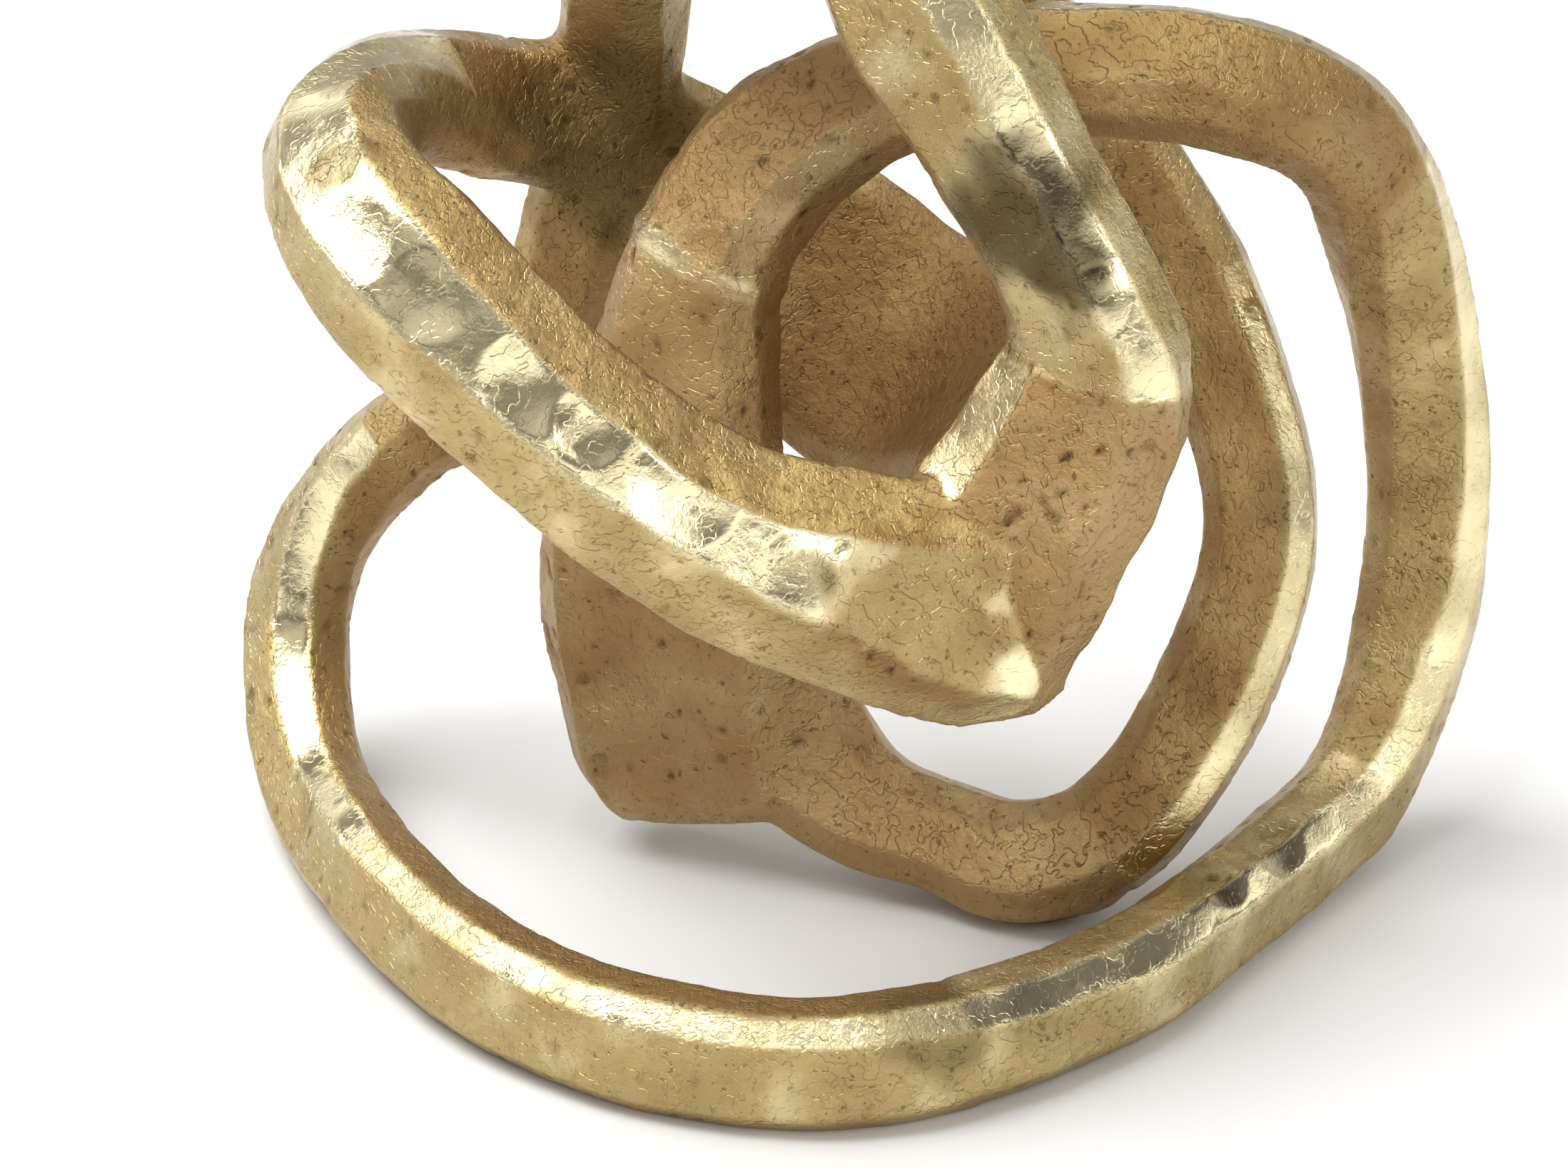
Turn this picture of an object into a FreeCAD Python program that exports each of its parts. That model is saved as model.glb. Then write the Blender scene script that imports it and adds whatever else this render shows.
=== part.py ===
import FreeCAD, Part
import math
import os

# Decorative interlaced knot in a cast gold-finished metal. One long bar with bevelled corners
# is built up from cast lengths that are welded end to end and ground flush.
# Frame: +Z up, the knot stands on z = 0, the front faces -Y, x = 0 is the middle of the base.

os.makedirs("parts", exist_ok=True)

V = FreeCAD.Vector

BEVEL = 0.27          # bevel of the bar's corners, as a share of its narrow side
STEPS = 4             # cross-sections for each stretch between two stations
BEAD_RISE = 0.6       # how far a weld bead stands above the bar, mm
BEAD_START = 0.1      # rise of the bead at its two ends, mm
BEAD_HALF = 0.12      # half the length of a weld bead, as a share of a stretch
REACH = 0.05          # how far ahead and behind the bar's direction is measured, in stretches
GRIND = 1.5           # depth ground off the underside to make it stand, mm
FACET = 0.05          # how closely the extent of the surfaces is measured, mm
SPACE = 400.0         # size of the space that the knot fits in, mm

# Stations along the bar. Each is the centre of the bar (x, y, z), the way its broad face looks
# (azimuth, elevation in degrees), the broad side and the narrow side. All lengths in mm.

# The ring starts on the back of the plate, goes round the back and the left lobe to the front.
RING = [
    (44, -20, 100, 180, 50, 38, 20),
    (42, 2, 95, -170, 50, 42, 20),
    (34, 24, 90, -150, 45, 46, 19),
    (19, 42, 88, -120, 40, 49, 18),
    (2, 52, 101, -90, 30, 44, 18),
    (-15, 56, 117, -75, 30, 30, 18),
    (-31, 56, 126, -60, 35, 26, 18),
    (-50, 48, 134, -40, 30, 25, 18),
    (-63, 34, 143, -10, 40, 23, 20),
    (-71, 14, 151, 30, 70, 22, 22),
    (-75, -6, 154, 180, 70, 25, 22),
    (-73, -22, 152, -150, 60, 28, 22),
    (-66, -34, 148, -115, 45, 32, 22),
    (-56, -42, 140, -95, 35, 33, 22),
    (-35, -50, 122, -80, 25, 32, 22),
    (-10, -51, 103, -70, 20, 34, 24),
    (11, -46, 92, -70, 20, 38, 24),
    (28, -41, 85, -80, 15, 41, 24),
    (40, -37, 83, -88, 10, 38, 22),
]

# The rope rises from the plate, arches over the top, drops behind the ring, makes the base ring,
# climbs the right side and comes back through the ring to end in the lower lobe.
ROPE = [
    (35, -38, 65, -85, 10, 26, 20),
    (34, -38, 77, -88, 15, 36, 22),
    (37, -36, 91, -95, 15, 41, 24),
    (46, -32, 107, -102, 15, 38, 24),
    (53, -28, 122, -110, 10, 33, 23),
    (50, -26, 138, -120, 0, 27, 21),
    (37, -20, 161, -120, 0, 28, 22),
    (24, -10, 180, -125, 5, 31, 23),
    (14, 4, 194, -130, 15, 27, 23),
    (-2, 18, 199, -130, 15, 26, 22),
    (-18, 34, 186, -130, 0, 25, 21),
    (-26, 48, 165, -130, -10, 22, 20),
    (-28, 56, 146, -125, -5, 23, 19),
    (-31, 57, 125, -115, 5, 22, 18),
    (-37, 56, 104, -105, 10, 21, 18),
    (-42, 54, 88, -95, 10, 20, 18),
    (-53, 52, 75, -95, 15, 19, 18),
    (-69, 50, 65, -90, 10, 18, 18),
    (-83, 53, 45, -65, 10, 18, 18),
    (-89, 47, 26, -40, 30, 18, 19),
    (-85, 24, 11, -20, 55, 17, 20),
    (-73, -10, 11, 5, 70, 16, 21),
    (-53, -42, 11, 35, 80, 16, 23),
    (-29, -62, 11, 80, 85, 16, 23),
    (0, -71, 11, 125, 85, 16, 23),
    (29, -65, 11, 130, 85, 18, 23),
    (57, -45, 10, 120, 85, 18, 21),
    (76, -21, 10, -70, 85, 17, 21),
    (91, 0, 10, -105, 75, 17, 21),
    (103, 16, 14, -110, 62, 18, 21),
    (111, 28, 29, -110, 40, 20, 20),
    (115, 35, 53, -100, 15, 22, 18),
    (114, 36, 80, -90, 0, 23, 18),
    (109, 32, 108, -75, 0, 23, 18),
    (102, 26, 131, -55, 10, 23, 18),
    (92, 20, 146, -50, 35, 23, 18),
    (74, 16, 155, -60, 55, 24, 18),
    (56, 16, 157, -95, 60, 24, 18),
    (37, 18, 156, -110, 55, 24, 18),
    (17, 20, 151, -125, 50, 25, 18),
    (-2, 18, 139, -130, 35, 28, 19),
    (-13, 16, 122, -125, 15, 28, 20),
    (-17, 14, 102, -115, 5, 33, 20),
    (-20, 14, 76, -115, 0, 44, 22),
    (-19, 16, 50, -115, 0, 50, 24),
    (-17, 17, 32, -115, 0, 48, 24),
    (-15, 16, 19, -115, 0, 46, 22),
    (-13, 16, 11, -115, 0, 36, 16),
]

# The hook starts in the lower lobe, cradles the middle, climbs on the right and ends on the arch.
HOOK = [
    (-2, 13, 50, -90, 10, 20, 18),
    (-1, 12, 36, -85, 15, 26, 20),
    (5, 10, 23, -90, 22, 26, 20),
    (15, 6, 15, -100, 28, 22, 20),
    (28, 2, 12, -110, 30, 20, 19),
    (42, -5, 11, -115, 30, 22, 19),
    (57, -5, 16, -110, 30, 22, 18),
    (70, 0, 30, -110, 25, 21, 17),
    (80, 8, 51, -105, 20, 21, 16),
    (84, 16, 69, -100, 20, 21, 16),
    (80, 25, 87, -100, 20, 21, 16),
    (72, 35, 106, -100, 20, 21, 16),
    (61, 45, 123, -95, 25, 20, 16),
    (48, 51, 140, -85, 10, 20, 17),
    (34, 45, 160, -60, -15, 20, 17),
    (23, 28, 178, -50, -25, 19, 17),
    (14, 12, 190, -50, -25, 18, 16),
]

# Where the bevel is larger, on the front of the ring and on the plate: the bar, the station in
# the middle of it, how many stations it reaches each way, and the largest share.
WIDE_BEVELS = [
    (RING, 14.3, 3.5, 0.46),
    (ROPE, 2.0, 2.5, 0.38),
]


def blend(p0, p1, p2, p3, t):
    """Smooth curve through p1 and p2, as one number."""
    a = 2 * p1
    b = (p2 - p0) * t
    c = (2 * p0 - 5 * p1 + 4 * p2 - p3) * t * t
    d = (3 * p1 - p0 - 3 * p2 + p3) * t ** 3
    return 0.5 * (a + b + c + d)


def look(azimuth, elevation):
    """Unit direction from its two angles in degrees."""
    a = math.radians(azimuth)
    e = math.radians(elevation)
    return V(math.cos(e) * math.cos(a), math.cos(e) * math.sin(a), math.sin(e))


def at(bar, s):
    """The bar at place s along its stations: centre, facing, broad side, narrow side."""
    last = len(bar) - 1
    i = min(int(s), last - 1)
    four = []
    for k in (i - 1, i, i + 1, i + 2):
        x, y, z, azimuth, elevation, broad, narrow = bar[min(max(k, 0), last)]
        n = look(azimuth, elevation)
        four.append((x, y, z, n.x, n.y, n.z, broad, narrow))
    r = [blend(a, b, c, d, s - i) for a, b, c, d in zip(*four)]
    return V(r[0], r[1], r[2]), V(r[3], r[4], r[5]), r[6], r[7]


def bevel(bar, s):
    """The bevel at place s, as a share of the narrow side."""
    share = BEVEL
    for where, middle, reach, largest in WIDE_BEVELS:
        far = (s - middle) / reach
        if bar is where and abs(far) < 1:
            share += (largest - BEVEL) * (1 - far * far)
    return share


def outline(bar, s, grow=0.0):
    """The bar's bevelled cross-section at place s, as a closed wire."""
    last = len(bar) - 1
    centre, facing, broad, narrow = at(bar, s)
    ahead = at(bar, min(s + REACH, last))[0]
    behind = at(bar, max(s - REACH, 0))[0]
    along = (ahead - behind).normalize()
    n = (facing - along * facing.dot(along)).normalize()
    b = along.cross(n)
    c = bevel(bar, s) * min(broad, narrow)
    h = narrow / 2 + grow
    w = broad / 2 + grow
    corners = [(h, c - w), (h, w - c), (h - c, w), (c - h, w)]
    corners += [(-p, -q) for p, q in corners]
    points = [centre + n * p + b * q for p, q in corners]
    return Part.makePolygon(points + [points[0]])


def length(bar, first, last):
    """One cast length of the bar between two stations."""
    count = (last - first) * STEPS
    wires = [outline(bar, first + k / STEPS) for k in range(count + 1)]
    return Part.makeLoft(wires, True, False)


def bead(bar, s):
    """A raised weld bead round the bar at place s, before the bar is taken out of it."""
    low = outline(bar, s - BEAD_HALF, BEAD_START)
    top = outline(bar, s, BEAD_RISE)
    high = outline(bar, s + BEAD_HALF, BEAD_START)
    return Part.makeLoft([low, top, high], True, True)


def longest(shape):
    """The largest solid of a shape, without the stubs that a cut leaves behind."""
    return max(shape.Solids, key=lambda solid: solid.Volume)


def joined(shape, other):
    """A cast length that ends on the surface of another one."""
    return longest(shape.cut(other))


def extent(shapes):
    """The lowest and the highest corner of the true surfaces."""
    points = [p for shape in shapes for p in shape.tessellate(FACET)[0]]
    low = V(min(p.x for p in points), min(p.y for p in points), min(p.z for p in points))
    high = V(max(p.x for p in points), max(p.y for p in points), max(p.z for p in points))
    return low, high


parts = {}

# the ring, and the plate it closes on
parts["plate"] = length(ROPE, 0, 4)
parts["ring_back"] = joined(length(RING, 0, 4), parts["plate"])
parts["ring_wall"] = length(RING, 4, 8)
parts["lobe_back"] = length(RING, 8, 10)
parts["lobe_front"] = length(RING, 10, 13)
parts["ring_front"] = joined(length(RING, 13, 18), parts["plate"])

# the rope, from the plate over the top and down to the base
parts["rising_arm"] = length(ROPE, 4, 7)
parts["arch_right"] = length(ROPE, 7, 9)
parts["arch_left"] = length(ROPE, 9, 11)
parts["upper_drop"] = joined(length(ROPE, 11, 13), parts["ring_wall"])
parts["lower_drop"] = joined(length(ROPE, 13, 17), parts["ring_wall"])
parts["base_left"] = length(ROPE, 17, 21)
parts["base_front"] = length(ROPE, 21, 25)
parts["base_right"] = length(ROPE, 25, 29)

# the rope, up the right side and back through the ring
parts["side_sweep"] = length(ROPE, 29, 34)
parts["upper_arm"] = length(ROPE, 34, 38)
parts["centre_arm"] = length(ROPE, 38, 41)
parts["lower_lobe"] = length(ROPE, 41, 47)

# the hook
parts["cradle"] = joined(length(HOOK, 0, 6), parts["lower_lobe"])
parts["right_arm"] = length(HOOK, 6, 11)
parts["tail"] = joined(length(HOOK, 11, 16), parts["arch_right"])

# the weld bead that is left standing proud
parts["centre_weld"] = bead(ROPE, 41).cut(parts["centre_arm"]).cut(parts["lower_lobe"])

# the underside is ground flat where it meets the table
low, high = extent(parts.values())
foot = low.z + GRIND
below = Part.makeBox(SPACE, SPACE, SPACE, V(-SPACE / 2, -SPACE / 2, foot - SPACE))
for name in ("base_left", "base_front", "base_right", "cradle"):
    parts[name] = longest(parts[name].cut(below))

# the origin goes to the middle of the underside
low, high = extent(parts.values())
shift = V(-(low.x + high.x) / 2, -(low.y + high.y) / 2, -foot)

for name, shape in parts.items():
    shape.translate(shift)
    shape.exportStep("parts/" + name + ".step")
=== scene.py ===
import bpy
import math
import numpy as np
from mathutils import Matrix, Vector, noise
from mathutils.bvhtree import BVHTree


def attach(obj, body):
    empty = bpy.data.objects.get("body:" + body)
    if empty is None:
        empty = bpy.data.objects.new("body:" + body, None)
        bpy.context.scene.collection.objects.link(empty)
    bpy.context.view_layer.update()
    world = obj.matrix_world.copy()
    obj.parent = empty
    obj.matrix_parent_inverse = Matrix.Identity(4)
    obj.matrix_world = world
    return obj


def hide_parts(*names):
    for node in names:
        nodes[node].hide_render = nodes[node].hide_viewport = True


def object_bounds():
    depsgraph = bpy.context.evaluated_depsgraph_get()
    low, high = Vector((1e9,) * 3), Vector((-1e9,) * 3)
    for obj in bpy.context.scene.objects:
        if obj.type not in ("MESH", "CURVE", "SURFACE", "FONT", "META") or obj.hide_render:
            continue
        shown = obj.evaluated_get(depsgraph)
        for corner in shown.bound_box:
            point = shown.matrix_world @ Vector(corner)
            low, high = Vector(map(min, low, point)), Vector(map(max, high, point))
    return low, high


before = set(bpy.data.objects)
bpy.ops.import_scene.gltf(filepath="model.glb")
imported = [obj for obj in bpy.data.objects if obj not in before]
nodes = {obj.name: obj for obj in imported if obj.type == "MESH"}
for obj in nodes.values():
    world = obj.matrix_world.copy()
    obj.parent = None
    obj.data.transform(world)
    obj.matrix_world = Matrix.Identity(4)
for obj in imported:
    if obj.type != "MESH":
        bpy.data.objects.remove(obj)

# A welded knot of bevelled bar with a gilded finish, on a white table. The cast lengths are
# ground flush, so their surface is made as one skin and then divided into one piece a node.

cad_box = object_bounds()
low, high = (np.array(corner) for corner in cad_box)

MM = 0.001
VOXEL = 0.9 * MM          # grain of the skin
SOFTEN = 2                # steps that round the skin's corners
FILLET_STEPS = 60         # steps that fill its inner corners with weld
BORDER_STEPS = 8          # steps that even out the border between two pieces
BLEND_STEPS = 60          # steps that blend rosiness and lumpiness from piece to piece
SAMPLES = 6               # places looked at in each stretch between two stations
EIGHTH = 45               # degrees between two of the eight places round the bar
SHIFT = np.array([-13.98, 5.21, -0.4])      # from the stations' frame to the knot's, mm

# The stations of the three strands, as in the CAD: the centre of the bar in mm, and the way its
# broad face looks, as azimuth and elevation in degrees.

RING = [
    (44, -20, 100, 180, 50),
    (42, 2, 95, -170, 50),
    (34, 24, 90, -150, 45),
    (19, 42, 88, -120, 40),
    (2, 52, 101, -90, 30),
    (-15, 56, 117, -75, 30),
    (-31, 56, 126, -60, 35),
    (-50, 48, 134, -40, 30),
    (-63, 34, 143, -10, 40),
    (-71, 14, 151, 30, 70),
    (-75, -6, 154, 180, 70),
    (-73, -22, 152, -150, 60),
    (-66, -34, 148, -115, 45),
    (-56, -42, 140, -95, 35),
    (-35, -50, 122, -80, 25),
    (-10, -51, 103, -70, 20),
    (11, -46, 92, -70, 20),
    (28, -41, 85, -80, 15),
    (40, -37, 83, -88, 10),
]

ROPE = [
    (35, -38, 65, -85, 10),
    (34, -38, 77, -88, 15),
    (37, -36, 91, -95, 15),
    (46, -32, 107, -102, 15),
    (53, -28, 122, -110, 10),
    (50, -26, 138, -120, 0),
    (37, -20, 161, -120, 0),
    (24, -10, 180, -125, 5),
    (14, 4, 194, -130, 15),
    (-2, 18, 199, -130, 15),
    (-18, 34, 186, -130, 0),
    (-26, 48, 165, -130, -10),
    (-28, 56, 146, -125, -5),
    (-31, 57, 125, -115, 5),
    (-37, 56, 104, -105, 10),
    (-42, 54, 88, -95, 10),
    (-53, 52, 75, -95, 15),
    (-69, 50, 65, -90, 10),
    (-83, 53, 45, -65, 10),
    (-89, 47, 26, -40, 30),
    (-85, 24, 11, -20, 55),
    (-73, -10, 11, 5, 70),
    (-53, -42, 11, 35, 80),
    (-29, -62, 11, 80, 85),
    (0, -71, 11, 125, 85),
    (29, -65, 11, 130, 85),
    (57, -45, 10, 120, 85),
    (76, -21, 10, -70, 85),
    (91, 0, 10, -105, 75),
    (103, 16, 14, -110, 62),
    (111, 28, 29, -110, 40),
    (115, 35, 53, -100, 15),
    (114, 36, 80, -90, 0),
    (109, 32, 108, -75, 0),
    (102, 26, 131, -55, 10),
    (92, 20, 146, -50, 35),
    (74, 16, 155, -60, 55),
    (56, 16, 157, -95, 60),
    (37, 18, 156, -110, 55),
    (17, 20, 151, -125, 50),
    (-2, 18, 139, -130, 35),
    (-13, 16, 122, -125, 15),
    (-17, 14, 102, -115, 5),
    (-20, 14, 76, -115, 0),
    (-19, 16, 50, -115, 0),
    (-17, 17, 32, -115, 0),
    (-15, 16, 19, -115, 0),
    (-13, 16, 11, -115, 0),
]

HOOK = [
    (-2, 13, 50, -90, 10),
    (-1, 12, 36, -85, 15),
    (5, 10, 23, -90, 22),
    (15, 6, 15, -100, 28),
    (28, 2, 12, -110, 30),
    (42, -5, 11, -115, 30),
    (57, -5, 16, -110, 30),
    (70, 0, 30, -110, 25),
    (80, 8, 51, -105, 20),
    (84, 16, 69, -100, 20),
    (80, 25, 87, -100, 20),
    (72, 35, 106, -100, 20),
    (61, 45, 123, -95, 25),
    (48, 51, 140, -85, 10),
    (34, 45, 160, -60, -15),
    (23, 28, 178, -50, -25),
    (14, 12, 190, -50, -25),
]

# For each node: its strand, its first and last station, rosiness, lumpiness, and how bright the
# gilding is round the bar, from 0, worn brown, to 1, polished. The eight places round the bar
# start at the broad face and turn by way of each bevel and side in steps of 45 degrees.
FINISH = {
    "plate": (ROPE, 0, 4, 0.9, 1.2, (0.1, 0.3, 0.5, 0.4, 0.1, 0.1, 0.3, 0.85)),
    "ring_back": (RING, 0, 4, 0.3, 0.6, (0.0, 0.05, 0.2, 0.3, 0.4, 0.3, 0.1, 0.1)),
    "ring_wall": (RING, 4, 8, 0.2, 0.8, (0.0, 0.25, 0.3, 0.3, 0.4, 0.2, 0.1, 0.0)),
    "lobe_back": (RING, 8, 10, 0.0, 0.6, (0.8, 0.85, 0.7, 0.4, 0.2, 0.1, 0.05, 0.3)),
    "lobe_front": (RING, 10, 13, 0.0, 0.6, (1.0, 0.6, 0.5, 0.3, 0.1, 0.05, 0.1, 0.35)),
    "ring_front": (RING, 13, 18, 0.1, 0.8, (1.0, 0.55, 0.45, 0.3, 0.1, 0.05, 0.15, 0.42)),
    "rising_arm": (ROPE, 4, 7, 0.1, 0.8, (0.6, 0.9, 0.6, 0.4, 0.2, 0.2, 0.3, 0.6)),
    "arch_right": (ROPE, 7, 9, 0.1, 0.7, (0.5, 0.85, 0.6, 0.4, 0.3, 0.3, 0.3, 0.5)),
    "arch_left": (ROPE, 9, 11, 0.2, 0.7, (0.4, 0.8, 0.6, 0.4, 0.3, 0.3, 0.3, 0.4)),
    "upper_drop": (ROPE, 11, 13, 0.2, 0.6, (0.05, 0.2, 0.2, 0.3, 0.4, 0.3, 0.2, 0.15)),
    "lower_drop": (ROPE, 13, 17, 0.2, 0.8, (0.1, 0.2, 0.2, 0.3, 0.4, 0.3, 0.2, 0.15)),
    "base_left": (ROPE, 17, 21, 0.0, 0.9, (0.0, 0.95, 0.5, 0.4, 0.2, 0.1, 0.0, 0.05)),
    "base_front": (ROPE, 21, 25, 0.0, 0.5, (0.0, 0.85, 0.5, 0.4, 0.2, 0.1, 0.0, 0.05)),
    "base_right": (ROPE, 25, 29, 0.1, 0.7, (0.6, 0.95, 0.6, 0.4, 0.2, 0.1, 0.1, 0.3)),
    "side_sweep": (ROPE, 29, 34, 0.1, 0.6, (0.4, 0.85, 0.6, 0.5, 0.5, 0.3, 0.1, 0.2)),
    "upper_arm": (ROPE, 34, 38, 0.2, 0.7, (0.08, 0.6, 0.6, 0.5, 0.4, 0.2, 0.05, 0.1)),
    "centre_arm": (ROPE, 38, 41, 0.9, 1.1, (0.12, 0.15, 0.2, 0.3, 0.3, 0.2, 0.1, 0.6)),
    "lower_lobe": (ROPE, 41, 47, 0.5, 1.0, (0.15, 0.12, 0.15, 0.2, 0.3, 0.2, 0.2, 0.5)),
    "cradle": (HOOK, 0, 6, 0.7, 0.6, (0.4, 0.1, 0.1, 0.2, 0.3, 0.2, 0.15, 0.25)),
    "right_arm": (HOOK, 6, 11, 0.2, 0.7, (0.15, 0.85, 0.7, 0.5, 0.4, 0.2, 0.15, 0.15)),
    "tail": (HOOK, 11, 16, 0.2, 0.7, (0.15, 0.6, 0.5, 0.4, 0.4, 0.3, 0.2, 0.2)),
    "centre_weld": (ROPE, 40.8, 41.2, 0.5, 1.2, (0.6, 0.6, 0.5, 0.4, 0.4, 0.3, 0.3, 0.8)),
}

# Hollows left by the hammer on the bright rim and lumps of the casting, each as its centre,
# radius and depth in mm. A lump has a negative depth.
MARKS = [
    (-73, -44, 148, 8, 1.1),
    (-56, -51, 135, 9, 1.0),
    (-46, -53, 128, 7, 0.9),
    (-30, -55, 117, 10, 1.2),
    (-11, -55, 100, 9, -0.8),
    (-87, -36, 154, 9, 0.9),
    (-2, -54, 93, 7, 1.0),
    (10, -52, 82, 6, -1.1),
    (16, -49, 87, 5, -0.9),
    (4, -54, 84, 5, 0.9),
    (24, -47, 90, 6, 0.8),
    (53, -25, 20, 7, 0.9),
    (62, -21, 20, 6, 1.0),
    (73, -8, 20, 7, 1.0),
    (66, -30, 14, 6, 0.8),
    (-33, 16, 129, 7, -1.0),
    (-20, 9, 126, 6, 0.9),
    (-26, 12, 140, 8, 0.8),
    (25, -28, 155, 9, 0.8),
    (39, -33, 141, 6, -0.7),
    (5, 29, 88, 14, 1.2),
    (30, 20, 92, 9, -1.0),
    (-45, 15, 40, 10, 0.9),
    (-30, 9, 60, 9, -0.8),
]

# Patches that are brighter or duller than the length they lie on, or darkened with dirt and
# with painted dark reflections and shade, each as its centre and radius in mm, the change in
# brightness, and the darkening from 0 to 1.
PATCHES = [
    (10, -52, 88, 22, -0.55, 0.0),
    (30, -46, 88, 14, -0.2, 0.0),
    (25, -28, 155, 18, 0.1, 1.0),
    (33, -33, 144, 10, -0.1, 0.9),
    (-89, -22, 162, 9, -0.25, 0.75),
    (-11, -55, 100, 7, -0.15, 0.45),
    (-40, -54, 123, 6, 0.0, 0.2),
    (61, -21, 20, 9, 0.2, 0.6),
    (74, -6, 20, 8, 0.2, 0.5),
    (11, -68, 20, 14, -0.1, 0.45),
    (30, -62, 20, 10, 0.1, 0.3),
    (-45, 50, 128, 26, -0.1, 0.55),
    (-8, 20, 146, 24, -0.1, 0.25),
    (-104, 50, 42, 18, 0.15, 0.1),
    (39, -33, 141, 8, 0.15, 0.0),
    (75, 15, 76, 9, 0.0, 0.35),
    (60, 8, 40, 9, 0.0, 0.3),
]

# The relief of the casting, in mm: the height and the size of its waves, lumps, grit and pits.
WAVE, WAVE_SIZE = 0.8, 30
LUMP, LUMP_SIZE = 0.55, 10
GRIT, GRIT_SIZE = 0.2, 3.6
PIT, PIT_SIZE = 0.35, 3.0
SINK = 0.25               # how far the whole skin is drawn in

# How unevenly the gilding shines and the patches end, and the size of that unevenness in mm.
CLOUDY, CLOUDY_SIZE = 0.22, 14
RAGGED, RAGGED_SIZE = 0.35, 7
PIT_DIRT = 0.15           # dirt that a pit holds

# Colours of the metal. The rosy ones are for the lengths that look redder.
BROWN, ROSY_BROWN = (0.34, 0.215, 0.08, 1), (0.43, 0.275, 0.12, 1)
SATIN, ROSY_SATIN = (0.51, 0.385, 0.165, 1), (0.50, 0.355, 0.17, 1)
CHAMPAGNE = (0.86, 0.745, 0.455, 1)
# Pale gold of rubbed gilding on the ridges, which also paints a highlight along the bevel
# edges.
RUBBED_AND_HIGHLIGHT = (0.86, 0.76, 0.50, 1)
FLECK = (0.30, 0.19, 0.07, 1)
# Dark colour for dirt, also used for painted dark reflections and painted shade in the patches,
# and to darken the hollows.
DIRT_AND_DARK_REFLECTION = (0.07, 0.048, 0.018, 1)
PITTED = (0.10, 0.06, 0.02, 1)

# How strongly rubbed edges with their painted highlight, flecks, dirt with painted dark
# reflections and shade, and pits cover the colour below them.
RUBBED_AND_HIGHLIGHT_COVER, FLECK_COVER, DIRT_AND_REFLECTION_COVER, PIT_COVER = 0.6, 0.16, 0.85, 0.45
BUMP_STRENGTH, BUMP_DEPTH = 0.7, 0.6 * MM

# The light from all round: each height, from 0 on the horizon to 1 straight up, and its level.
SKY_BOTTOM = (0.02, (0.22, 0.22, 0.20, 1))
SKY_BANDS = ((0.10, 0.05), (0.17, 0.95), (0.32, 1.3), (0.42, 0.8), (0.5, 0.12), (0.7, 0.5))
SKY_TOP = (0.95, (0.7, 0.7, 0.7, 1))
CLOUD_SCALE = 2.2
CLOUD_FROM, CLOUD_TO = (0.35, 0.62), (0.4, 1.3)

# The two soft lights, in metres and watts, and the place that they look at.
KEY = {"place": (-0.7, 0.2, 1.7), "size": (1.5, 1.5), "power": 42}
FILL = {"place": (1.2, -1.0, 1.0), "size": (0.4, 1.2), "power": 7}
LIT = (0, 0, 0.09)

TABLE_HALF = 6.0          # half the side of the table, m
TABLE_WHITE = (0.86, 0.86, 0.86, 1)
TABLE_ROUGHNESS = 0.35

CAMERA_TILT = 30          # degrees above the table
CAMERA_TARGET = (-14.0, 5.2, 63.6)          # the place it looks at, mm
CAMERA_DISTANCE = 1.5     # m
SENSOR, LENS = 36.0, 196.6                  # mm
FAR_CLIP = 50             # m


# ---------------------------------------------------------------- skin

def copy_of(name):
    """A loose copy of one CAD node."""
    obj = bpy.data.objects.new("copy_" + name, nodes[name].data.copy())
    bpy.context.scene.collection.objects.link(obj)
    return obj


def fused(names):
    """One closed, even mesh round all the nodes."""
    copies = [copy_of(name) for name in names]
    bpy.ops.object.select_all(action="DESELECT")
    for obj in copies:
        obj.select_set(True)
    bpy.context.view_layer.objects.active = copies[0]
    bpy.ops.object.join()
    whole = bpy.context.view_layer.objects.active
    remesh = whole.modifiers.new("remesh", "REMESH")
    remesh.mode = "VOXEL"
    remesh.voxel_size = VOXEL
    bpy.ops.object.modifier_apply(modifier="remesh")
    return whole


def numbers(items, key, width, kind=np.float64):
    """A property of many mesh items as an array."""
    values = np.empty(len(items) * width, kind)
    items.foreach_get(key, values)
    return values.reshape(-1, width) if width > 1 else values


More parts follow.
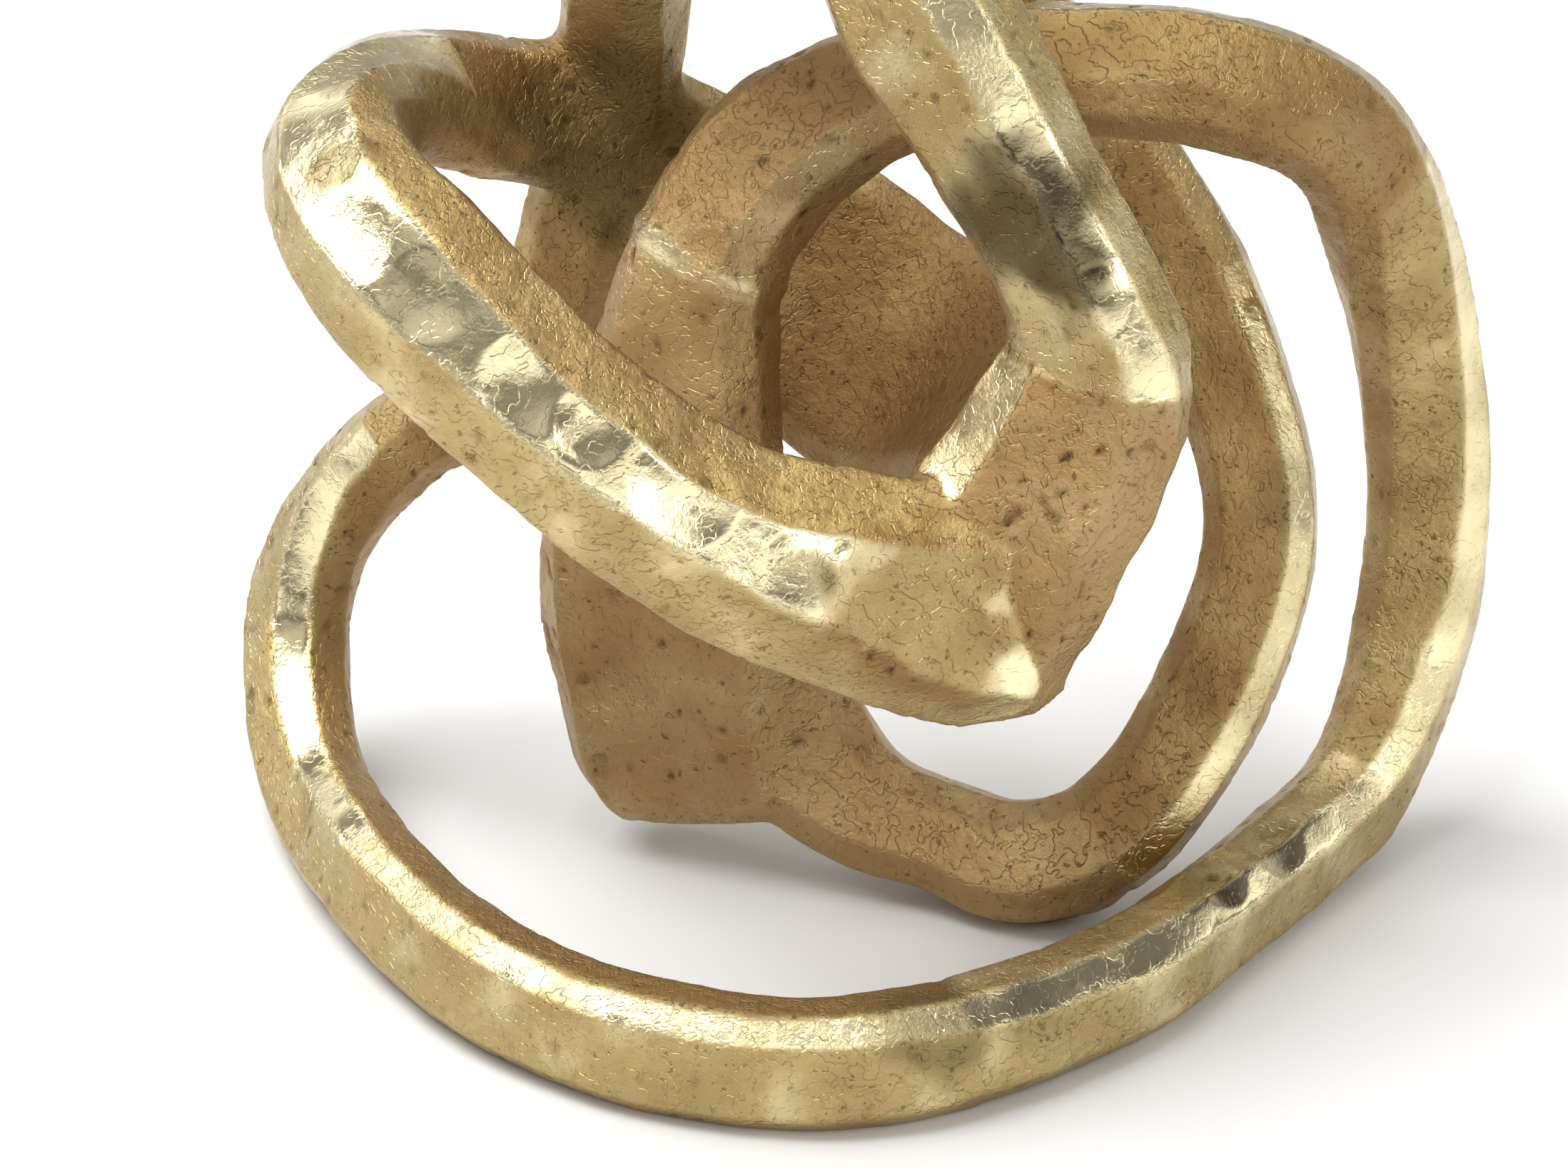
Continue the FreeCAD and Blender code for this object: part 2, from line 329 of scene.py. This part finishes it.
class Skin:
    """The skin's points and faces, with what is worked out on them."""

    def __init__(self, whole):
        mesh = whole.data
        self.co = numbers(mesh.vertices, "co", 3)
        self.edges = numbers(mesh.edges, "vertices", 2, np.int32)
        self.faces = [tuple(p.vertices) for p in mesh.polygons]
        self.mesh = mesh
        count = len(self.co)
        both = np.concatenate([self.edges[:, 0], self.edges[:, 1]])
        self.degree = np.maximum(np.bincount(both, minlength=count), 1)

    def mean(self, values):
        """The mean of each point's neighbours."""
        a, b = self.edges[:, 0], self.edges[:, 1]
        count = len(self.co)
        total = np.bincount(a, weights=values[b], minlength=count)
        total += np.bincount(b, weights=values[a], minlength=count)
        return total / self.degree

    def spread(self, values, steps):
        """Values softened over the surface."""
        for _ in range(steps):
            values = 0.5 * values + 0.5 * self.mean(values)
        return values

    def soften(self, steps):
        """Rounds every corner a little."""
        for _ in range(steps):
            near = np.stack([self.mean(self.co[:, k]) for k in range(3)], 1)
            self.co = 0.5 * self.co + 0.5 * near

    def fillet(self, steps):
        """Fills inner corners, and leaves outer ones as they are."""
        for _ in range(steps):
            near = np.stack([self.mean(self.co[:, k]) for k in range(3)], 1)
            normal = self.normals()
            lift = np.clip(np.sum((near - self.co) * normal, 1), 0, None)
            self.co += normal * (0.5 * lift)[:, None]

    def normals(self):
        """The way that the skin faces at each point."""
        self.mesh.vertices.foreach_set("co", self.co.ravel())
        self.mesh.update()
        return numbers(self.mesh.vertices, "normal", 3)

    def convexity(self):
        """Above zero on a ridge and below zero in a hollow."""
        near = np.stack([self.mean(self.co[:, k]) for k in range(3)], 1)
        away = self.co - near
        return np.sum(away * self.normals(), 1) / VOXEL


def owners(names, co):
    """The number of the node that lies nearest to each point."""
    points = []
    faces = []
    whose = []
    for number, name in enumerate(names):
        mesh = nodes[name].data
        start = len(points)
        points += [v.co.copy() for v in mesh.vertices]
        for p in mesh.polygons:
            faces.append([start + v for v in p.vertices])
            whose.append(number)
    tree = BVHTree.FromPolygons(points, faces)
    return np.array([whose[tree.find_nearest(Vector(p))[2]] for p in co])


def grain(co, size, seed):
    """Even noise about zero, with lumps of about that size."""
    move = Vector((seed * 7.1, seed * 3.7, seed * 5.3))
    return np.array([noise.noise(Vector(p) / size + move) for p in co])


def step(values, start, end):
    """Zero below start, one above end, smooth between them."""
    t = np.clip((values - start) / (end - start), 0, 1)
    return t * t * (3 - 2 * t)


def look(azimuth, elevation):
    """Unit direction from its two angles in degrees."""
    a = math.radians(azimuth)
    e = math.radians(elevation)
    return np.array([math.cos(e) * math.cos(a), math.cos(e) * math.sin(a), math.sin(e)])


def samples(strand, first, last):
    """Centre, facing and sideways direction at even places along a strand."""
    ends = len(strand) - 1
    rows = np.array([(x, y, z, *look(turn, lift)) for x, y, z, turn, lift in strand])
    places = np.linspace(first, last, max(2, int((last - first) * SAMPLES) + 1))
    found = []
    for s in places:
        i = min(int(s), ends - 1)
        p0, p1, p2, p3 = (rows[min(max(k, 0), ends)] for k in (i - 1, i, i + 1, i + 2))
        t = s - i
        curve = 2 * p1 + (p2 - p0) * t + (2 * p0 - 5 * p1 + 4 * p2 - p3) * t * t
        curve = (curve + (p1 * 3 - p0 - 3 * p2 + p3) * t ** 3) / 2
        found.append(curve)
    found = np.array(found)
    centre = (found[:, :3] + SHIFT) * MM
    along = np.gradient(centre, axis=0)
    along /= np.linalg.norm(along, axis=1)[:, None]
    facing = found[:, 3:] - along * np.sum(found[:, 3:] * along, 1)[:, None]
    facing /= np.linalg.norm(facing, axis=1)[:, None]
    return centre, facing, np.cross(along, facing)


def gilding(names, owner, co, normal):
    """How bright each point is, from the way it looks round the bar."""
    bright = np.zeros(len(co))
    for number, name in enumerate(names):
        mine = np.flatnonzero(owner == number)
        if not len(mine):
            continue
        strand, first, last, _, _, round_bar = FINISH[name]
        centre, facing, side = samples(strand, first, last)
        near = ((co[mine, None, :] - centre[None]) ** 2).sum(2).argmin(1)
        n = normal[mine]
        turn = np.arctan2((n * side[near]).sum(1), (n * facing[near]).sum(1))
        turn = np.degrees(turn) % 360 / EIGHTH
        turn = np.floor(turn) + step(turn % 1, 0.25, 0.75)
        closed = round_bar + round_bar[:1]
        bright[mine] = np.interp(turn, np.arange(len(closed)), closed)
    return bright


names = sorted(nodes)
whole = fused(names)
skin = Skin(whole)
skin.fillet(FILLET_STEPS)
skin.soften(SOFTEN)
owner = owners(names, skin.co)
normal = skin.normals()
bright = skin.spread(gilding(names, owner, skin.co, normal), 2)
rosy, lumpy = (
    skin.spread(np.array([FINISH[n][k] for n in names])[owner], BLEND_STEPS) for k in (3, 4)
)

# The surface of the casting: broad waves, lumps, grit, pits and hammer marks.
dull = 1 - 0.75 * step(bright, 0.55, 0.9)
rise = WAVE * grain(skin.co, WAVE_SIZE * MM, 1)
rise += LUMP * lumpy * (0.2 + 0.8 * dull) * grain(skin.co, LUMP_SIZE * MM, 2)
rise += GRIT * lumpy * dull * grain(skin.co, GRIT_SIZE * MM, 3)
pits = step(grain(skin.co, PIT_SIZE * MM, 4), 0.34, 0.6) * dull
rise -= PIT * lumpy * pits
for x, y, z, radius, depth in MARKS:
    far = np.linalg.norm(skin.co / MM - np.array([x, y, z]), axis=1) / radius
    rise -= depth * np.clip(1 - far ** 2, 0, None)
rise -= SINK
skin.co = np.clip(skin.co + normal * (rise * MM)[:, None], low, high)
normal = skin.normals()

# Where the gilding shines, where its edges are rubbed bright with a painted highlight, and
# where the skin is darkened: in the hollows and pits, and with dirt and painted dark
# reflections and shade in the patches.
ridge = skin.spread(skin.convexity(), 2)
# Rubbed edges: a painted highlight along the convex ridges of the bright gilding, also standing
# for rubbed wear.
rubbed_edge_and_highlight = step(ridge, 0.06, 0.18) * step(bright, 0.1, 0.5)
hollow = step(-ridge, 0.03, 0.12)
shine = bright + CLOUDY * grain(skin.co, CLOUDY_SIZE * MM, 5) * (0.3 + dull)
# Darker in the hollows and in the pits.
dirt_and_dark_reflection = hollow + PIT_DIRT * pits
ragged = RAGGED * grain(skin.co, RAGGED_SIZE * MM, 6)
# The patches add dirt, and also painted dark reflections and painted shade where the metal is
# to look dark.
for x, y, z, radius, change, dark in PATCHES:
    far = np.linalg.norm(skin.co / MM - np.array([x, y, z]), axis=1) / radius
    here = 1 - step(far + ragged, 0.45, 1.0)
    shine += change * here
    dirt_and_dark_reflection += dark * here
# Stored on the skin: shine, the rubbed edge with its painted highlight, rosiness, and dirt with
# painted dark reflections and shade.
finish_and_painted_light = np.clip(np.stack([shine, rubbed_edge_and_highlight, rosy, dirt_and_dark_reflection], 1), 0, 1)


# ---------------------------------------------------------------- materials

def add(tree, kind, **values):
    """A shader node with its settings and unlinked inputs."""
    node = tree.nodes.new(kind)
    for key, value in values.items():
        setattr(node, key, value)
    return node


def gilt():
    """Gilded cast metal: brown in the hollows, pale and bright where it is polished."""
    mat = bpy.data.materials.new("gilded_metal")
    mat.use_nodes = True
    tree = mat.node_tree
    link = tree.links.new
    shader = tree.nodes["Principled BSDF"]
    shader.inputs["Metallic"].default_value = 1.0
    # Reads shine, rubbed edge with painted highlight, rosiness, and dirt with painted dark
    # reflections and shade.
    attr = add(tree, "ShaderNodeAttribute", attribute_name="finish_and_painted_light")
    split = add(tree, "ShaderNodeSeparateColor")
    link(attr.outputs["Color"], split.inputs["Color"])
    coord = add(tree, "ShaderNodeTexCoord")

    def texture(scale, detail, roughness=0.55, where=None):
        node = add(tree, "ShaderNodeTexNoise")
        node.inputs["Scale"].default_value = scale
        node.inputs["Detail"].default_value = detail
        node.inputs["Roughness"].default_value = roughness
        link(where or coord.outputs["Object"], node.inputs["Vector"])
        return node.outputs["Fac"]

    def ramp(source, low_at, high_at, low_value=0.0, high_value=1.0):
        node = add(tree, "ShaderNodeMapRange")
        node.inputs["From Min"].default_value = low_at
        node.inputs["From Max"].default_value = high_at
        node.inputs["To Min"].default_value = low_value
        node.inputs["To Max"].default_value = high_value
        link(source, node.inputs["Value"])
        return node.outputs["Result"]

    def mix(amount, first, second):
        node = add(tree, "ShaderNodeMix", data_type="RGBA")
        link(amount, node.inputs["Factor"])
        for socket, value in ((node.inputs["A"], first), (node.inputs["B"], second)):
            if isinstance(value, tuple):
                socket.default_value = value
            else:
                link(value, socket)
        return node.outputs["Result"]

    def calc(operation, first, second):
        node = add(tree, "ShaderNodeMath", operation=operation)
        for socket, value in ((node.inputs[0], first), (node.inputs[1], second)):
            if isinstance(value, (int, float)):
                socket.default_value = value
            else:
                link(value, socket)
        return node.outputs["Value"]

    shine_here = calc("ADD", split.outputs["Red"], ramp(texture(110, 5), 0.3, 0.7, -0.1, 0.1))
    dull = ramp(shine_here, 0.5, 0.95, 1.0, 0.15)
    pit = calc("MULTIPLY", ramp(texture(700, 2), 0.64, 0.72), dull)
    fleck = calc("MULTIPLY", ramp(texture(240, 6, 0.7), 0.5, 0.7), dull)

    brown = mix(split.outputs["Blue"], BROWN, ROSY_BROWN)
    satin = mix(split.outputs["Blue"], SATIN, ROSY_SATIN)
    base = mix(ramp(shine_here, 0.05, 0.5), brown, satin)
    base = mix(ramp(shine_here, 0.55, 0.95), base, CHAMPAGNE)
    # Rubbed edges turn pale gold: a painted highlight along the ridges, and rubbed wear.
    base = mix(calc("MULTIPLY", split.outputs["Green"], RUBBED_AND_HIGHLIGHT_COVER), base, RUBBED_AND_HIGHLIGHT)
    base = mix(calc("MULTIPLY", fleck, FLECK_COVER), base, FLECK)
    # Dirt, with painted dark reflections and painted shade, darkens the colour.
    base = mix(calc("MULTIPLY", attr.outputs["Alpha"], DIRT_AND_REFLECTION_COVER), base, DIRT_AND_DARK_REFLECTION)
    base = mix(calc("MULTIPLY", pit, PIT_COVER), base, PITTED)
    link(base, shader.inputs["Base Color"])

    rough = ramp(shine_here, 0.05, 0.5, 0.4, 0.17)
    rough = calc("SUBTRACT", rough, ramp(shine_here, 0.6, 0.95, 0.0, 0.11))
    rough = calc("ADD", rough, ramp(texture(350, 3), 0.3, 0.7, -0.06, 0.08))
    rough = calc("SUBTRACT", rough, calc("MULTIPLY", split.outputs["Green"], 0.08))
    rough = calc("ADD", rough, calc("MULTIPLY", pit, 0.3))
    link(rough, shader.inputs["Roughness"])

    vein = calc("ABSOLUTE", calc("SUBTRACT", texture(230, 2), 0.5), 0.0)
    scratch = ramp(vein, 0.0, 0.02, -1.0, 0.0)
    grooves = add(tree, "ShaderNodeMapping")
    grooves.inputs["Rotation"].default_value = (0.3, 0.5, 0.4)
    grooves.inputs["Scale"].default_value = (1.0, 0.12, 1.0)
    link(coord.outputs["Object"], grooves.inputs["Vector"])
    brushed = texture(900, 3, 0.6, grooves.outputs["Vector"])
    height = calc("ADD", calc("MULTIPLY", pit, -0.8), calc("MULTIPLY", scratch, 0.5))
    height = calc("ADD", height, calc("MULTIPLY", brushed, 0.8))
    height = calc("ADD", height, calc("MULTIPLY", texture(420, 8, 0.7), 1.8))
    height = calc("MULTIPLY", height, ramp(shine_here, 0.45, 0.95, 1.0, 0.08))
    bump = add(tree, "ShaderNodeBump")
    bump.inputs["Strength"].default_value = BUMP_STRENGTH
    bump.inputs["Distance"].default_value = BUMP_DEPTH
    link(height, bump.inputs["Height"])
    link(bump.outputs["Normal"], shader.inputs["Normal"])
    return mat


metal = gilt()


# ---------------------------------------------------------------- pieces

def rims(faces):
    """The open edges of some faces, as loops of points."""
    pairs = [(f[k], f[(k + 1) % 4]) for f in faces.tolist() for k in range(4)]
    whole = set(pairs)
    after = {}
    for start, end in pairs:
        if (end, start) not in whole:
            after.setdefault(start, []).append(end)
    loops = []
    while after:
        first = next(iter(after))
        loop = [first]
        while loop[-1] in after:
            ends = after[loop[-1]]
            loop.append(ends.pop())
            if not ends:
                del after[loop[-2]]
            if loop[-1] == first:
                break
        loops.append(loop[:-1])
    return loops


def piece(number, name, face_owner, faces):
    """The part of the skin that belongs to one CAD node, with a lid on each of its ends."""
    used, corners = np.unique(faces[face_owner == number], return_inverse=True)
    corners = corners.reshape(-1, 4)
    points = skin.co[used]
    looks = finish_and_painted_light[used]
    turned = normal[used]
    lids = []
    for loop in rims(corners):
        middle = len(points)
        points = np.vstack([points, points[loop].mean(0)])
        looks = np.vstack([looks, looks[loop].mean(0)])
        lids += [(b, a, middle) for a, b in zip(loop, loop[1:] + loop[:1])]

    mesh = bpy.data.meshes.new(name)
    mesh.from_pydata(points.tolist(), [], corners.tolist() + lids)
    mesh.polygons.foreach_set("use_smooth", np.ones(len(mesh.polygons), bool))
    layer = mesh.attributes.new("finish_and_painted_light", "FLOAT_COLOR", "POINT")
    layer.data.foreach_set("color", looks.astype(np.float32).ravel())
    mesh.materials.append(metal)
    mesh.update()
    skin_normals = turned[corners.ravel()].tolist()
    lid_normals = [tuple(p.normal) for p in mesh.polygons[len(corners):] for _ in range(3)]
    mesh.normals_split_custom_set(skin_normals + lid_normals)

    obj = bpy.data.objects.new("skin_" + name, mesh)
    bpy.context.scene.collection.objects.link(obj)
    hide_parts(name)
    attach(obj, "root")


def clean_owner(owner, count):
    """Each point's owner, with ragged borders and stray points evened out."""
    shares = [(owner == number).astype(float) for number in range(count)]
    near = [skin.spread(share, BORDER_STEPS) for share in shares]
    return np.argmax(near, 0)


def face_owners(owner, faces):
    """The owner of most of each face's corners."""
    first, second, third, fourth = (owner[faces[:, k]] for k in range(4))
    most = np.where((second == third) | (second == fourth), second, first)
    return np.where(third == fourth, third, most)


faces = np.array(skin.faces)
face_owner = face_owners(clean_owner(owner, len(names)), faces)
for number, name in enumerate(names):
    piece(number, name, face_owner, faces)
bpy.data.objects.remove(whole)


# ---------------------------------------------------------------- table, light, camera

def table():
    """A plain white table."""
    half = TABLE_HALF
    mesh = bpy.data.meshes.new("table")
    corners = [(-half, -half, 0), (half, -half, 0), (half, half, 0), (-half, half, 0)]
    mesh.from_pydata(corners, [], [(0, 1, 2, 3)])
    mat = bpy.data.materials.new("white_table")
    mat.use_nodes = True
    shader = mat.node_tree.nodes["Principled BSDF"]
    shader.inputs["Base Color"].default_value = TABLE_WHITE
    shader.inputs["Roughness"].default_value = TABLE_ROUGHNESS
    mesh.materials.append(mat)
    obj = bpy.data.objects.new("table", mesh)
    bpy.context.scene.collection.objects.link(obj)
    return obj


def studio():
    """Pale light from all round, in bands by height, with patches that are dimmer."""
    world = bpy.data.worlds.new("studio")
    bpy.context.scene.world = world
    world.use_nodes = True
    tree = world.node_tree
    coord = add(tree, "ShaderNodeTexCoord")
    split = add(tree, "ShaderNodeSeparateXYZ")
    tree.links.new(coord.outputs["Generated"], split.inputs["Vector"])
    ramp = add(tree, "ShaderNodeValToRGB")
    tree.links.new(split.outputs["Z"], ramp.inputs["Fac"])
    for stop, (place, colour) in zip(ramp.color_ramp.elements, (SKY_BOTTOM, SKY_TOP)):
        stop.position = place
        stop.color = colour
    for place, level in SKY_BANDS:
        stop = ramp.color_ramp.elements.new(place)
        stop.color = (level, level, level, 1)
    cloud = add(tree, "ShaderNodeTexNoise")
    cloud.inputs["Scale"].default_value = CLOUD_SCALE
    cloud.inputs["Detail"].default_value = 0.5
    tree.links.new(coord.outputs["Generated"], cloud.inputs["Vector"])
    patchy = add(tree, "ShaderNodeMapRange")
    patchy.inputs["From Min"].default_value = CLOUD_FROM[0]
    patchy.inputs["From Max"].default_value = CLOUD_FROM[1]
    patchy.inputs["To Min"].default_value = CLOUD_TO[0]
    patchy.inputs["To Max"].default_value = CLOUD_TO[1]
    tree.links.new(cloud.outputs["Fac"], patchy.inputs["Value"])
    tree.links.new(ramp.outputs["Color"], tree.nodes["Background"].inputs["Color"])
    tree.links.new(patchy.outputs["Result"], tree.nodes["Background"].inputs["Strength"])


def softbox(name, place, size, power):
    """A soft light that looks at the knot."""
    data = bpy.data.lights.new(name, "AREA")
    data.shape = "RECTANGLE"
    data.size, data.size_y = size
    data.energy = power
    obj = bpy.data.objects.new(name, data)
    obj.location = place
    aim = Vector(LIT) - Vector(place)
    obj.rotation_euler = aim.to_track_quat("-Z", "Y").to_euler()
    bpy.context.scene.collection.objects.link(obj)


def camera():
    """A long lens that looks down at the knot from the front."""
    tilt = math.radians(CAMERA_TILT)
    target = Vector(CAMERA_TARGET) * MM
    data = bpy.data.cameras.new("camera")
    data.sensor_width = SENSOR
    data.lens = LENS
    data.clip_end = FAR_CLIP
    obj = bpy.data.objects.new("camera", data)
    obj.location = target + Vector((0, -math.cos(tilt), math.sin(tilt))) * CAMERA_DISTANCE
    obj.rotation_euler = (math.pi / 2 - tilt, 0, 0)
    bpy.context.scene.collection.objects.link(obj)
    bpy.context.scene.camera = obj


table()
studio()
softbox("key", **KEY)
softbox("fill", **FILL)
camera()
bpy.context.scene.view_settings.view_transform = "Standard"

bpy.context.view_layer.update()
